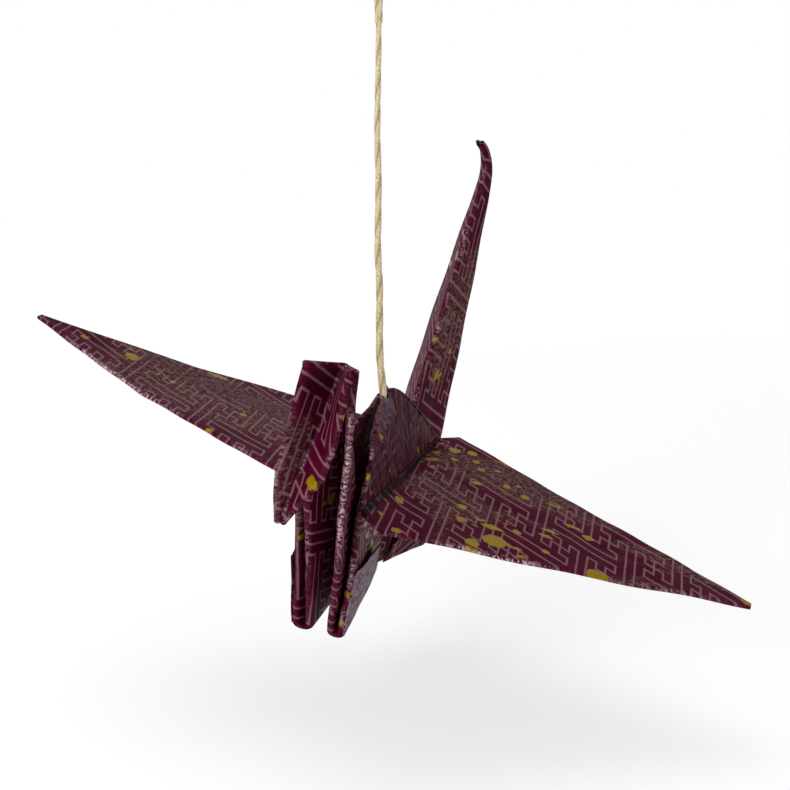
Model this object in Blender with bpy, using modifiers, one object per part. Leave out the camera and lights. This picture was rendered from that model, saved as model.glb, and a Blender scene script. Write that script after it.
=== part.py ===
# A paper crane, folded from one square sheet, on a thin hanging cord.
# The crane is made in its own frame: X to its left, Y to its tail, Z up from its feet.
# At the end it is tipped as it hangs, and the origin is the top of the cord's loop.

import math

import bmesh
import bpy
import mathutils
import numpy as np

# Sizes are in metres and angles in degrees.

# The sheet
sheet_side = 0.150
layer = 0.0002  # two layers of thin washi, pressed together
narrowing_angle = 11.25  # a quarter of 45 degrees, by the folding
wing_corner_angle = 22.5

# The body, opened out
hinge_height = 0.0195  # the wings' fold lines above the feet's level
hinge_half_width = 0.0045
hinge_fold_radius = 0.00047  # the round of the fold between a wing, its flank and the hump
apex_rise = 0.0118  # from the wings' fold lines to the point of the hump
front_foot_height = 0.0008
front_leg_half_width = 0.0016  # to the middle of each folded edge, at the feet
rear_foot_height = 0.0035
rear_leg_half_width = 0.0040
keel_height = 0.0034  # where the four legs' folds meet under the body
flank_keel_height = 0.0050  # and where the flanks' outer layers end beside it
keel_half_width = 0.0021
valley_depth = 0.0024  # how far the gussets bulge from the centre, under the apex
valley_drop = 0.0058
hump_side_start = 0.02  # share of the way down from its point, inside the cord's hole
raw_edge_gap = 0.0004  # between the raw edges, down the middle of each flank
raw_edge_reach = 0.62  # of a leg's width, from the folded edge to the raw one
left_pitch = 0.0014  # from the middle of a flank's edge to the middle of the leg's edge
right_pitch = 0.0022
turn_flatness = 0.45  # how round the layers are where a leg is turned back
pack_radius = 0.00042  # the round of a leg's or flank's folded edge
tip_radius = 0.00030  # and at the tips

# The flaps that the narrowing fold lays over each flank
flap_top_height = 0.0116
flap_reach = 0.0105  # from the folded edge to the flap's far corner
flap_foot_reach = 0.92  # share of the flank's lower edge that the flap covers
left_flap_stand_off = 0.0003
right_flap_stand_off = 0.0008

# The wings
wing_length = 0.0518  # from the fold line to the tip
left_wing_angle = -7.1
right_wing_angle = 12.7
wing_middle = 0.0290  # from the fold line to a station between the shoulder and the tip
# How far a wing's edges are bent up at its fold line, shoulder, middle and tip
left_front_lifts = (0.0018, 0.0006, 0.0, 0.0)
left_back_lifts = (-0.0008, 0.0003, 0.0, 0.0)
right_front_lifts = (0.0032, 0.0044, 0.0006, 0.0)
right_back_lifts = (-0.0005, -0.0009, -0.0011, 0.0)
wing_edge_radius = 0.00022
wing_tip_half_width = 0.0005

# The neck and the head
neck_length = 0.0758
neck_elevation = 54.2
neck_lean = 4.2
neck_half_width = 0.0032  # at the head's fold
head_spine = 0.0246  # from the head's fold to its tip, along the spine
head_edge = 0.0203
right_brow_drop = 0.0005  # the right half of the neck is folded a little lower
head_turn = 5.6
head_drop = 0.0008  # how far the beak hangs below the mirrored line of the neck
# How wide the head opens on each side, at shares of the way from its fold to the beak
head_shares = (0.0, 0.25, 0.5, 0.7, 0.85, 1.0)
left_head_widths = (0.0028, 0.0031, 0.0034, 0.0032, 0.0018, 0.0006)
right_head_widths = (0.0028, 0.0026, 0.0024, 0.0021, 0.0015, 0.0006)

# The tail
tail_length = 0.0735
tail_elevation = 51.0
tail_bow = 5.0
tail_fullness = 0.0011
tail_curl = 75.0
tail_curl_length = 0.0050
tail_side_curl = 0.0016  # how far the very tip is bent to the right
tail_tip_half_width = 0.0007
tail_tip_depth = 0.0009  # from its folded edges to its spine

# The cord, its knot and its loop
cord_diameter = 0.0010
cord_height = 0.0520  # from the point of the hump to where the strands part
# How far the cord strays to the left and the back, at even heights going up
cord_waves = ((0.0, 0.0), (-0.00042, 0.0), (-0.00045, 0.0001), (-0.00035, 0.0), (-0.0005, -0.0001),
              (-0.0004, 0.0), (-0.0003, 0.0), (-0.0004, 0.0), (-0.0003, 0.0001), (-0.0001, 0.0), (0.0, 0.0))
cord_step = 0.0024  # between the points of its tube
cord_clearance = 0.0003
knot_diameter = 0.0019
knot_depth = 0.0047  # the stopper knot's middle under the point of the hump, where the hollow holds it
loop_length = 0.0180
loop_width = 0.0060
loop_strand_diameter = 0.0007
seat_gap = 0.0003  # between pieces that touch
# The left half of the loop, going up: shares of the loop's width and of its length
loop_shape = ((0.13, 0.10), (0.30, 0.35), (0.46, 0.62), (0.42, 0.82), (0.22, 0.96))

# How it hangs
bank_angle = 8.8  # the left wing hangs low
nose_angle = 1.2  # and the head a little

LEFT = np.array([1.0, 0.0, 0.0])
SIDES = (1, -1)
fine_weld = 0.0000001  # points closer than this are one point
join_weld = 0.000003  # and this, once the cord's hole is cut
scrap_faces = 12  # a scrap that hangs on the joined solid by an edge has fewer faces than this
turn_steps = 4  # in a half circle of layers
cutter_sides = 18
EDGE_TURN = np.radians(np.linspace(-90.0, 90.0, 5))
SPINE_TURN = np.radians(np.linspace(80.0, -80.0, 3))


def tan(degrees):
    return math.tan(math.radians(degrees))


def point(left, back, up):
    return np.array([left, back, up], dtype=float)


def unit(vector):
    return vector / np.linalg.norm(vector)


def mix(start, end, share):
    return start + (end - start) * share


# Where the folds fall on the sheet. Heights here are counted from the sheet's middle line.
half_side = sheet_side / 2
shoulder_line = half_side * (tan(wing_corner_angle) - tan(narrowing_angle))
shoulder_line /= tan(wing_corner_angle) + tan(narrowing_angle)
shoulder_half_chord = (shoulder_line + half_side) * tan(narrowing_angle)
shoulder_reach = shoulder_line - (half_side - wing_length)
hinge_half_length = (sheet_side - wing_length) * tan(narrowing_angle)


def folded_edge_at(height):
    """how far forward or back a flank's folded edge is at a height of the body"""
    drop = hinge_height - height
    return (sheet_side - wing_length - drop) * tan(narrowing_angle)


def pleat_row(spine, edges, raws, turn, edge_radius, spine_radius):
    """One row of points across a pleat of two halves, from the left half's raw edge to the right's.
    Each half goes round its folded edge, and the two are joined at the spine.
    turn is 1 where the raw edges lie outside, and -1 where they lie between the halves."""
    halves = []
    middle = unit((edges[0] + edges[1]) / 2 - spine)
    for side, edge, raw in zip(SIDES, edges, raws):
        outward = unit(edge - spine)
        centre = edge - edge_radius * outward
        bend = [centre + edge_radius * (math.cos(a) * outward + math.sin(a) * side * turn * LEFT)
                for a in EDGE_TURN]
        halves.append(bend + [raw])
    centre = spine + spine_radius * middle
    fold = [centre + spine_radius * (math.sin(a) * LEFT - math.cos(a) * middle) for a in SPINE_TURN]
    return np.array(halves[0][::-1] + fold + halves[1])


def turned_rows(before, after, beyond):
    """the rows between two rows where every layer turns back in a half circle"""
    rows = []
    middle = (before + after) / 2
    reach = (before - after) / 2
    radius = np.abs(reach @ LEFT)[:, None] * turn_flatness
    for step in range(1, turn_steps):
        angle = math.pi * step / turn_steps
        rows.append(middle + reach * math.cos(angle) + radius * beyond * math.sin(angle))
    return rows


def inner_raws(spine, edges, edge_radius, spine_radius):
    """raw edges that lie between the two halves, halfway from the middle to the outer layers"""
    raws = []
    for side, edge in zip(SIDES, edges):
        outer = mix(edge + side * edge_radius * LEFT, spine + side * spine_radius * LEFT, raw_edge_reach)
        middle = mix((edges[0] + edges[1]) / 2, spine, raw_edge_reach)
        raws.append(mix(middle, outer, 0.5))
    return raws


def outer_raws(spine, edges, edge_radius, spine_radius):
    """raw edges that lie outside on the two halves, just off the layers under them"""
    return [mix(edge - side * edge_radius * LEFT, spine + side * spine_radius * LEFT, raw_edge_reach)
            + side * 1.5 * layer * LEFT for side, edge in zip(SIDES, edges)]


def sheet_object(name, rows, thickness, collection):
    """a strip of paper as an open grid of rows, with a wall from Solidify"""
    grid = np.array(rows)
    count, width = grid.shape[:2]
    faces = [(r * width + c, r * width + c + 1, (r + 1) * width + c + 1, (r + 1) * width + c)
             for r in range(count - 1) for c in range(width - 1)]
    mesh = bpy.data.meshes.new(name)
    mesh.from_pydata(grid.reshape(-1, 3).tolist(), [], faces)
    mesh.update()
    thing = bpy.data.objects.new(name, mesh)
    collection.objects.link(thing)
    wall = thing.modifiers.new("wall", "SOLIDIFY")
    wall.thickness = thickness
    wall.offset = 0.0
    return thing


def tube_object(name, points, radius, collection, cyclic=False, resolution=1):
    """a round bar along a line of points"""
    curve = bpy.data.curves.new(name, "CURVE")
    curve.dimensions = "3D"
    curve.bevel_depth = radius
    curve.bevel_resolution = resolution
    curve.use_fill_caps = not cyclic
    spline = curve.splines.new("POLY")
    spline.points.add(len(points) - 1)
    for place, target in zip(points, spline.points):
        target.co = (*place, 1.0)
    spline.use_cyclic_u = cyclic
    thing = bpy.data.objects.new(name, curve)
    collection.objects.link(thing)
    return thing


def as_mesh(thing, collection, weld=fine_weld):
    """the same object with its modifiers and curve made into a plain closed mesh"""
    bpy.context.view_layer.update()
    evaluated = thing.evaluated_get(bpy.context.evaluated_depsgraph_get())
    mesh = bpy.data.meshes.new_from_object(evaluated)
    name = thing.name
    made = bpy.data.objects.new(name, mesh)
    made.matrix_world = thing.matrix_world
    collection.objects.link(made)
    bpy.data.objects.remove(thing)
    made.name = name
    shape = bmesh.new()
    shape.from_mesh(mesh)
    bmesh.ops.remove_doubles(shape, verts=shape.verts, dist=weld)
    bmesh.ops.triangulate(shape, faces=shape.faces)
    bmesh.ops.delete(shape, geom=flat_scraps(shape), context="FACES")
    bmesh.ops.recalc_face_normals(shape, faces=shape.faces)
    shape.to_mesh(mesh)
    shape.free()
    return made


def flat_scraps(shape):
    """the faces of the scraps without any thickness that hang on the solid by an edge alone"""
    scraps = []
    left = set(shape.faces)
    while left:
        reached = [left.pop()]
        for face in reached:
            near = {other for edge in face.edges if edge.is_manifold for other in edge.link_faces} & left
            left -= near
            reached.extend(near)
        if len(reached) < scrap_faces:
            scraps.extend(reached)
    return scraps


def leaning(*places):
    """places on the neck or the head, shifted as its middle plane leans to the side"""
    return [place + tan(neck_lean) * (place[2] - keel_height) * LEFT for place in places]


def pitch(side):
    return left_pitch if side > 0 else right_pitch


def body_rows(ahead, foot_height, leg_half_width):
    """The front half of the body (ahead is -1) or the back half (1): the flanks and the gusset between."""
    apex = point(0, 0, hinge_height + apex_rise)
    top_edges = [hinge_end(side, ahead) for side in SIDES]
    top_raws = [mix(hinge_end(side, 0), hinge_end(side, ahead), raw_edge_gap / 2 / hinge_half_length)
                for side in SIDES]
    foot = ahead * folded_edge_at(foot_height)
    foot_edges = [point(side * (leg_half_width + pitch(side)), foot, foot_height) for side in SIDES]
    keel_raws = [point(side * keel_half_width, ahead * raw_edge_gap / 2, flank_keel_height)
                 for side in SIDES]
    bulge = point(0, ahead * valley_depth, apex[2] - valley_drop)
    keel = point(0, 0, keel_height)
    spines = [apex, bulge, mix(bulge, keel, 0.5), keel]
    start = valley_drop / (apex[2] - keel_height)
    rows = []
    for spine, share in zip(spines, (0.0, start, (1 + start) / 2, 1.0)):
        edges = [mix(top, low, share) for top, low in zip(top_edges, foot_edges)]
        raws = [mix(top, low, share) for top, low in zip(top_raws, keel_raws)]
        valley_radius = mix(layer, pack_radius, min(share / start, 1.0))
        rows.append(pleat_row(spine, edges, raws, 1, pack_radius, valley_radius))
    return rows


def lifts(side):
    """the lifts of a wing's front and back edges"""
    if side > 0:
        return left_front_lifts, left_back_lifts
    return right_front_lifts, right_back_lifts


def hinge_end(side, ahead):
    """a point of a wing's fold line: its front end, its middle or its back end"""
    front, back = lifts(side)
    lift = mix(front[0], back[0], (1 + ahead) / 2)
    return point(side * hinge_half_width, ahead * hinge_half_length, hinge_height + lift)


def leg_direction(ahead, elevation):
    return point(0, ahead * math.cos(math.radians(elevation)), math.sin(math.radians(elevation)))


def mirror_in_line(place, start, end):
    along = unit(end - start)
    offset = place - start
    return start + 2 * along * np.dot(offset, along) - offset


def curved_leg(ahead, base, elevation, length, bow, curl, curl_length):
    """a function that lays a straight leg's point on the leg's bowed and curled line"""
    steps = np.linspace(0.0, 1.0, 241)
    ease = np.clip((steps * length - (length - curl_length)) / curl_length, 0.0, 1.0)
    angles = np.radians(elevation + bow * (2 * steps - 1) + curl * ease)
    along = np.stack([0 * steps, ahead * np.cos(angles), np.sin(angles)], axis=1)
    outward = np.stack([0 * steps, ahead * np.sin(angles), -np.cos(angles)], axis=1)
    line = base + np.cumsum(along, axis=0) * length / len(steps)
    straight = leg_direction(ahead, elevation)
    straight_out = point(0, ahead * math.sin(math.radians(elevation)), -math.cos(math.radians(elevation)))

    def lay(place):
        share = np.dot(place - base, straight) / length
        depth = np.dot(place - base, straight_out)
        index = int(round(min(max(share, 0.0), 1.0) * (len(steps) - 1)))
        start = line[index] + (share - steps[index]) * length * along[index]
        return start + depth * outward[index] + (place[0] - tail_side_curl * ease[index] ** 2) * LEFT

    return lay


def front_rows():
    """The flanks at the front, the neck and the head are one strip, turned back at two folds."""
    body = body_rows(-1, front_foot_height, front_leg_half_width)
    foot = point(0, -folded_edge_at(front_foot_height), front_foot_height)
    keel = point(0, -pack_radius, keel_height)
    direction = leg_direction(-1, neck_elevation)
    tip = keel + neck_length * direction
    head_back = tip - head_spine * direction
    head_front = tip - head_edge * unit(tip - foot)
    neck = []
    for share in (0.0, 0.5, 1.0):
        spine, edge = leaning(mix(keel, head_back, share), mix(foot, head_front, share))
        edges = [edge + side * mix(front_leg_half_width, neck_half_width, share) * LEFT for side in SIDES]
        edges[1] = edges[1] - share * right_brow_drop * direction
        raws = inner_raws(spine, edges, pack_radius, pack_radius)
        neck.append(pleat_row(spine, edges, raws, -1, pack_radius, pack_radius))
    head_tip = mirror_in_line(tip, head_back, head_front)
    crown, brow, beak = leaning(head_back, head_front, head_tip)
    beak = beak + tan(head_turn) * head_spine * LEFT - point(0, 0, head_drop)
    inset = unit(beak - crown) * 3 * layer
    head = []
    for share, left, right in zip(head_shares, left_head_widths, right_head_widths):
        spine = mix(crown + inset, beak - inset, share)
        middle = mix(brow + inset, beak, share)
        edges = [middle + left * LEFT, middle - right * LEFT]
        radius = mix(pack_radius, tip_radius, share)
        raws = outer_raws(spine, edges, radius, radius)
        head.append(pleat_row(spine, edges, raws, 1, radius, radius))
    beyond = unit(np.cross(head_front - head_back, LEFT))
    beyond = beyond * np.sign(np.dot(beyond, direction))
    return (body + turned_rows(body[-1], neck[0], down_from(foot - keel)) + neck
            + turned_rows(neck[-1], head[0], beyond) + head)


def down_from(edge_line):
    """the direction across a leg's fold under the body, away from the body"""
    return unit(point(0, -abs(edge_line[2]), -abs(edge_line[1])))


def back_rows():
    """The flanks at the back and the tail are one strip, turned back at one fold."""
    body = body_rows(1, rear_foot_height, rear_leg_half_width)
    foot = point(0, folded_edge_at(rear_foot_height), rear_foot_height)
    keel = point(0, pack_radius, keel_height)
    direction = leg_direction(1, tail_elevation)
    tip = keel + tail_length * direction
    outward = point(0, direction[2], -direction[1])
    lay = curved_leg(1, keel, tail_elevation, tail_length, tail_bow, tail_curl, tail_curl_length)
    tail = []
    for share in (0.0, 0.2, 0.4, 0.6, 0.75, 0.87, 0.94, 0.96, 0.975, 0.988, 1.0):
        half_width = mix(rear_leg_half_width, tail_tip_half_width, share)
        radius = mix(pack_radius, tip_radius, share)
        spine = lay(mix(keel, tip, share))
        edge = mix(foot, tip + outward * tail_tip_depth, share)
        edge = lay(edge + outward * tail_fullness * math.sin(math.pi * share))
        edges = [edge + side * half_width * LEFT for side in SIDES]
        raws = inner_raws(spine, edges, radius, radius)
        tail.append(pleat_row(spine, edges, raws, -1, radius, radius))
    return body + turned_rows(body[-1], tail[0], down_from(foot - keel)) + tail


def wing_rows(side, angle):
    """A wing: the smooth layer on top goes round both edges, and its raw edges meet underneath."""
    middle = point(side * hinge_half_width, 0, hinge_height)
    out = point(side * math.cos(math.radians(angle)), 0, math.sin(math.radians(angle)))
    above = point(-out[2] * side, 0, out[0] * side)
    narrowing = (shoulder_half_chord - wing_tip_half_width) / (wing_length - shoulder_reach)
    stations = ((0.0, hinge_half_length), (shoulder_reach, shoulder_half_chord),
                (wing_middle, wing_tip_half_width + narrowing * (wing_length - wing_middle)),
                (wing_length, wing_tip_half_width))
    rows = []
    for (reach, half_chord), front, back in zip(stations, *lifts(side)):
        place = middle + reach * out
        ends = [place - point(0, half_chord, 0) + front * above,
                place + point(0, half_chord, 0) + back * above]
        centre = (ends[0] + ends[1]) / 2
        bends = []
        for end in ends:
            outward = unit(end - centre)
            start = end - outward * wing_edge_radius
            bends.append([start + wing_edge_radius * (math.cos(a) * outward + math.sin(a) * above)
                          for a in EDGE_TURN])
        gap = min(raw_edge_gap, half_chord / 2) / 2
        under = centre - above * wing_edge_radius
        raws = [under + unit(end - centre) * gap for end in ends]
        top = centre + above * wing_edge_radius
        rows.append(np.array([raws[0]] + bends[0] + [top] + bends[1][::-1] + [raws[1]]))
    return rows


def flap_rows(side, ahead, foot_height, leg_half_width):
    """the flap that the narrowing fold lays over a flank, standing a little off it"""
    top = hinge_end(side, ahead)
    foot = point(side * (leg_half_width + pitch(side)), ahead * folded_edge_at(foot_height), foot_height)
    keel = point(side * keel_half_width, 0, flank_keel_height)
    high = mix(top, foot, (top[2] - flap_top_height) / (top[2] - foot_height))
    stand_off = side * (left_flap_stand_off if side > 0 else right_flap_stand_off) * LEFT
    surface = side * pack_radius * LEFT
    near = [high + surface + stand_off / 2, foot + surface]
    corners = high - point(0, ahead * flap_reach, 0), mix(foot, keel, flap_foot_reach)
    far = [corner + surface + stand_off for corner in corners]
    halfway = [mix(start, end, 0.3) + stand_off / 2 for start, end in zip(near, far)]
    return [near, halfway, far]


def hump_side(side):
    """a side of the hump: the sheet's face between the point and a wing's fold line"""
    apex = point(0, 0, hinge_height + apex_rise)
    front, back = hinge_end(side, -1), hinge_end(side, 1)
    rows = []
    for share in (hump_side_start, 0.5, 1.0):
        rows.append([mix(apex, end, share) for end in (front, (front + back) / 2, back)])
    return rows


def build_paper(parts, guides):
    """the one folded sheet: its strips, faces and folds are joined, and the cord's hole is cut"""
    apex = point(0, 0, hinge_height + apex_rise)
    pieces = [sheet_object("back_strip", back_rows(), layer, guides)]
    for side, angle in zip(SIDES, (left_wing_angle, right_wing_angle)):
        name = "left" if side > 0 else "right"
        pieces.append(sheet_object(name + "_wing", wing_rows(side, angle), layer, guides))
        pieces.append(sheet_object(name + "_hump_side", hump_side(side), layer, guides))
        line = [hinge_end(side, -1), hinge_end(side, 1)]
        pieces.append(as_mesh(tube_object(name + "_fold", line, hinge_fold_radius, guides), guides))
        for ahead, height, width in ((-1, front_foot_height, front_leg_half_width),
                                     (1, rear_foot_height, rear_leg_half_width)):
            end = "_front" if ahead < 0 else "_back"
            flap = flap_rows(side, ahead, height, width)
            pieces.append(sheet_object(name + end + "_flap", flap, layer, guides))
            ridge = [apex, hinge_end(side, ahead)]
            pieces.append(as_mesh(tube_object(name + end + "_ridge", ridge, layer, guides), guides))
    paper = sheet_object("folded_paper", front_rows(), layer, parts)
    for thing in pieces + [paper]:
        hang_up(thing)
    joined = paper.modifiers.new("joined", "BOOLEAN")
    joined.operation = "UNION"
    joined.operand_type = "COLLECTION"
    joined.collection = guides
    joined.use_self = True
    paper = as_mesh(paper, parts)
    cutters = bpy.data.collections.new("cord_hole")
    bpy.context.scene.collection.children.link(cutters)
    # it is turned a little, so that none of its corners lies in the crane's middle plane
    bpy.ops.mesh.primitive_cylinder_add(vertices=cutter_sides, radius=cord_diameter / 2 + cord_clearance,
                                        depth=knot_depth, location=(0.0, 0.0, apex_level()),
                                        rotation=(0.0, 0.0, math.pi / cutter_sides / 2))
    cutter = bpy.context.active_object
    cutter.name = "cord_hole"
    move_to(cutter, cutters)
    cut = paper.modifiers.new("cord_hole", "BOOLEAN")
    cut.operation = "DIFFERENCE"
    cut.object = cutter
    paper = as_mesh(paper, parts, join_weld)
    for thing in pieces + [cutter]:
        thing.hide_render = True
        thing.display_type = "WIRE"
    return paper


def apex_level():
    """the height of the hump's point when the origin is the loop's inner top"""
    return loop_strand_diameter / 2 - loop_length - cord_height


def tip_over():
    return mathutils.Euler((math.radians(nose_angle), math.radians(bank_angle), 0.0))


def under_apex(depth):
    """a point in the hump's hollow, as deep under its point along the crane's own upright line"""
    level = mathutils.Vector((0.0, 0.0, apex_level()))
    return np.array(level - tip_over().to_matrix() @ mathutils.Vector((0.0, 0.0, depth)))


def hang_up(thing):
    """turns and moves a piece of the crane from its own frame to where it hangs"""
    thing.rotation_euler = tip_over()
    thing.location = under_apex(hinge_height + apex_rise)


def smooth_line(route, step):
    """points at even steps on a smooth curve through the route's own points"""
    route = np.array(route)
    padded = np.vstack([2 * route[0] - route[1], route, 2 * route[-1] - route[-2]])
    fine = []
    for before, start, end, after in zip(padded, padded[1:], padded[2:], padded[3:]):
        for t in np.linspace(0.0, 1.0, 20, endpoint=False):
            fine.append(0.5 * (2 * start + (end - before) * t
                               + (2 * before - 5 * start + 4 * end - after) * t ** 2
                               + (3 * start - before - 3 * end + after) * t ** 3))
    fine.append(route[-1])
    fine = np.array(fine)
    lengths = np.concatenate([[0.0], np.cumsum(np.linalg.norm(np.diff(fine, axis=0), axis=1))])
    count = max(2, int(round(lengths[-1] / step)) + 1)
    even = np.linspace(0.0, lengths[-1], count)
    return np.stack([np.interp(even, lengths, fine[:, axis]) for axis in range(3)], axis=1)


def build_cord(parts):
    """the cord from its stopper knot to where its strands part, and the loop that they make"""
    inside = under_apex(knot_depth - knot_diameter / 2 - seat_gap)
    top = apex_level() + cord_height - seat_gap
    heights = np.linspace(apex_level(), top, len(cord_waves))
    route = [point(left, back, height) for (left, back), height in zip(cord_waves, heights)]
    route = [inside, mix(inside, route[0], 0.6)] + route
    cord = tube_object("hanging_cord", smooth_line(route, cord_step), cord_diameter / 2, parts,
                       resolution=2)
    bpy.ops.mesh.primitive_uv_sphere_add(segments=16, ring_count=10, radius=knot_diameter / 2,
                                         location=under_apex(knot_depth))
    knot = bpy.context.active_object
    knot.name = "stopper_knot"
    move_to(knot, parts)
    strand = loop_strand_diameter / 2
    low = apex_level() + cord_height
    beside = strand + seat_gap / 4
    half = [point(beside, 0, low)] + [point(x * loop_width, 0, low + z * loop_length) for x, z in loop_shape]
    other = [place * (-1, 1, 1) for place in half[::-1]]
    route = half + [point(0, 0, low + loop_length)] + other
    loop = tube_object("hanging_loop", smooth_line(route, cord_step / 2), strand, parts, resolution=2)
    return cord, knot, loop


def move_to(thing, collection):
    for holder in list(thing.users_collection):
        holder.objects.unlink(thing)
    collection.objects.link(thing)


def coloured(thing, colour, roughness, metallic):
    material = bpy.data.materials.new(thing.name)
    material.use_nodes = True
    shader = material.node_tree.nodes["Principled BSDF"]
    shader.inputs["Base Color"].default_value = (*colour, 1.0)
    shader.inputs["Roughness"].default_value = roughness
    shader.inputs["Metallic"].default_value = metallic
    thing.data.materials.clear()
    thing.data.materials.append(material)


def main():
    for thing in list(bpy.data.objects):
        bpy.data.objects.remove(thing)
    parts = bpy.data.collections.new("paper_crane")
    guides = bpy.data.collections.new("paper_folds")
    for collection in (parts, guides):
        bpy.context.scene.collection.children.link(collection)
    coloured(build_paper(parts, guides), (0.16, 0.015, 0.05), 0.45, 0.0)
    for thing in build_cord(parts):
        coloured(thing, (0.55, 0.47, 0.27), 0.4, 0.4)


main()
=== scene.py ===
import math

import bpy
import numpy as np
from mathutils import Euler, Matrix, Vector


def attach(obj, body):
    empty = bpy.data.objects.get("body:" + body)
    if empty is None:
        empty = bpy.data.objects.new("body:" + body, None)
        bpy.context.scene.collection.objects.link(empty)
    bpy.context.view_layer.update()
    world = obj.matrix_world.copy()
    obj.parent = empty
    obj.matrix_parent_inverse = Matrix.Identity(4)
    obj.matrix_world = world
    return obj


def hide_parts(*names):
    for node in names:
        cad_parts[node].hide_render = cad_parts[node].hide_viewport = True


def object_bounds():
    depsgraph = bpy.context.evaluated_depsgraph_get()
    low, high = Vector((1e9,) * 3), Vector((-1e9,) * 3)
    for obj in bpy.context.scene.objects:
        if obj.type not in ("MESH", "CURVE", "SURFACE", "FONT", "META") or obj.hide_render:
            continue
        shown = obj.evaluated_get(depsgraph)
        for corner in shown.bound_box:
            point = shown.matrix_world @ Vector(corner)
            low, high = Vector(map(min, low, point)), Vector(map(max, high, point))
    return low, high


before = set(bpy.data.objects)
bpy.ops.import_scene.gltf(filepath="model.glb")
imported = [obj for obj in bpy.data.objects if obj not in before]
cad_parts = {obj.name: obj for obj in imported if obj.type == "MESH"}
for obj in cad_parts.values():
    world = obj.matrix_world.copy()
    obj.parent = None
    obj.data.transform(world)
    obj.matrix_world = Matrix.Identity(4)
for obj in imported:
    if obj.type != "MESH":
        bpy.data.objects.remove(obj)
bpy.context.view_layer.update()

# A crane folded from one sheet of patterned paper, hung on a thin twisted cord.
# The crane is worked out in its own frame: X to its left, Y to its tail, Z up from its feet.
# hangUp then tips it and moves it to where it hangs, as in the solid model.

hang = dict(bankAngle=8.8, noseAngle=1.2, loopLength=0.0180, cordHeight=0.0520, strandDiameter=0.0007)
apexLevel = hang["strandDiameter"] / 2 - hang["loopLength"] - hang["cordHeight"]
attitude = np.array(Euler((math.radians(hang["noseAngle"]), math.radians(hang["bankAngle"]), 0.0)).to_matrix())

crane = dict(
    sheetSide=0.150, layer=0.0002, narrowingAngle=11.25, wingCornerAngle=22.5,
    hingeHeight=0.0195, hingeHalfWidth=0.0045, apexRise=0.0118,
    frontFootHeight=0.0008, frontLegHalfWidth=0.0016, rearFootHeight=0.0027, rearLegHalfWidth=0.0040,
    keelHeight=0.0034, flankKeelHeight=0.0050, keelHalfWidth=0.0021,
    valleyDepth=0.0024, valleyDrop=0.0058, rawEdgeGap=0.0004, rawEdgeReach=0.62,
    leftPitch=0.0014, rightPitch=0.0022, turnFlatness=0.45, packRadius=0.00042, tipRadius=0.00030,
    # the cord's hole, and how far round it and how deep the paper gives way
    holeRadius=0.00062, holeReach=0.0021, holeDepth=0.0035,
    hingeOnSheet=0.0126, hingeWearAndHighlight=0.6,  # the wing's fold line on the flat sheet, and its wear with a painted highlight
)
apexHeight = crane["hingeHeight"] + crane["apexRise"]
left = np.array([1.0, 0.0, 0.0])
sides = (1, -1)
edgeTurn = np.radians(np.linspace(-90, 90, 9))
spineTurn = np.radians(np.linspace(84, -84, 7))
panelSteps = 9


# the tangent of an angle in degrees
def tan(degrees):
    return math.tan(math.radians(degrees))


# a place or direction from its three numbers
def point(x, y, z):
    return np.array([x, y, z], dtype=float)


# the vector over its own length
def unit(vector):
    return vector / np.linalg.norm(vector)


# start plus the share of the way to the end
def mix(start, end, share):
    return start + (end - start) * share


apexPoint = point(0, 0, apexHeight)
bodySteps = [8, 8, 8]  # rows from each station of the body to the next


# Turns places by the crane's attitude about the hump's point, which goes to the cord's line.
def hangUp(places):
    return (np.asarray(places) - apexPoint) @ attitude.T + point(0, 0, apexLevel)


# Where the folds fall on the sheet, by the folding
halfSide = crane["sheetSide"] / 2
wing = dict(
    length=0.0518, angles={1: -7.1, -1: 12.7}, middle=0.0290, edgeRadius=0.00022, tipHalfWidth=0.0005,
    frontLifts={1: (0.0018, 0.0006, 0.0, 0.0), -1: (0.0032, 0.0044, 0.0006, 0.0)},
    backLifts={1: (-0.0008, 0.0003, 0.0, 0.0), -1: (-0.0005, -0.0009, -0.0011, 0.0)},
    creaseDepth=0.00010, creaseWidth=0.0009, underSteps=14, topSteps=20, rowSteps=[10, 16, 22],
)
shoulderLine = halfSide * (tan(crane["wingCornerAngle"]) - tan(crane["narrowingAngle"]))
shoulderLine /= tan(crane["wingCornerAngle"]) + tan(crane["narrowingAngle"])
shoulderHalfChord = (shoulderLine + halfSide) * tan(crane["narrowingAngle"])
shoulderReach = shoulderLine - (halfSide - wing["length"])
hingeHalfLength = (crane["sheetSide"] - wing["length"]) * tan(crane["narrowingAngle"])


# half the folded edges' distance at a height: the sheet's side less the wing's length and the drop below
# the hinge, times the narrowing angle's tangent
def foldedEdgeAt(height):
    drop = crane["hingeHeight"] - height
    return (crane["sheetSide"] - wing["length"] - drop) * tan(crane["narrowingAngle"])


# the end of a wing's fold line, ahead or behind, raised by the wing's lift there
def hingeEnd(side, ahead):
    lift = mix(wing["frontLifts"][side][0], wing["backLifts"][side][0], (1 + ahead) / 2)
    return point(side * crane["hingeHalfWidth"], ahead * hingeHalfLength, crane["hingeHeight"] + lift)


# how much further a side's feet stand out than the leg's half width
def pitch(side):
    return crane["leftPitch"] if side > 0 else crane["rightPitch"]


# points from start towards end, without either
def line(start, end, steps=panelSteps):
    shares = np.linspace(0, 1, steps + 1)[1:-1, None]
    return start + (end - start) * shares


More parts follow.
